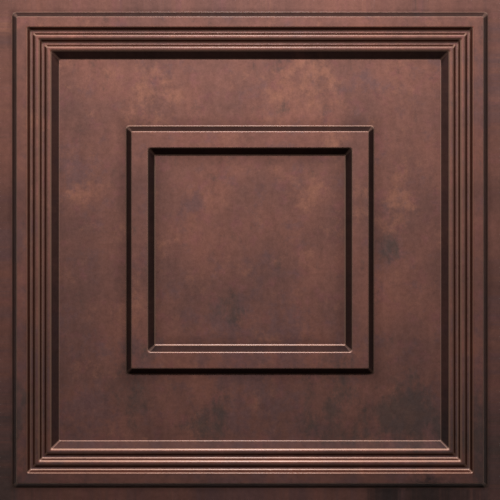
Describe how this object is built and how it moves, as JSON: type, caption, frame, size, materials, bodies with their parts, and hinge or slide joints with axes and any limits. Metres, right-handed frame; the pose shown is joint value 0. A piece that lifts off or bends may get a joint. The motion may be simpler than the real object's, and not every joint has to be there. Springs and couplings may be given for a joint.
{
  "type": "pvc ceiling tile",
  "caption": "Square thermoformed PVC lay-in ceiling tile: flat flange, stepped and reeded border, sunk field and a raised square frame in the middle, antique bronze face.",
  "frame": {"origin": "under the middle of the tile, on the plane of the backs of its sunk panels", "axes": "+Z out of the decorated face, X and Y along the sides, +Y to the top of the picture"},
  "size_m": [0.603, 0.603, 0.0117],
  "materials": {
    "bronze_pvc": "rigid PVC film sheet with a mottled antique bronze print and a satin sheen"
  },
  "bodies": {
    "root": {"ceiling_tile": "bronze_pvc"}
  },
  "joints": []
}
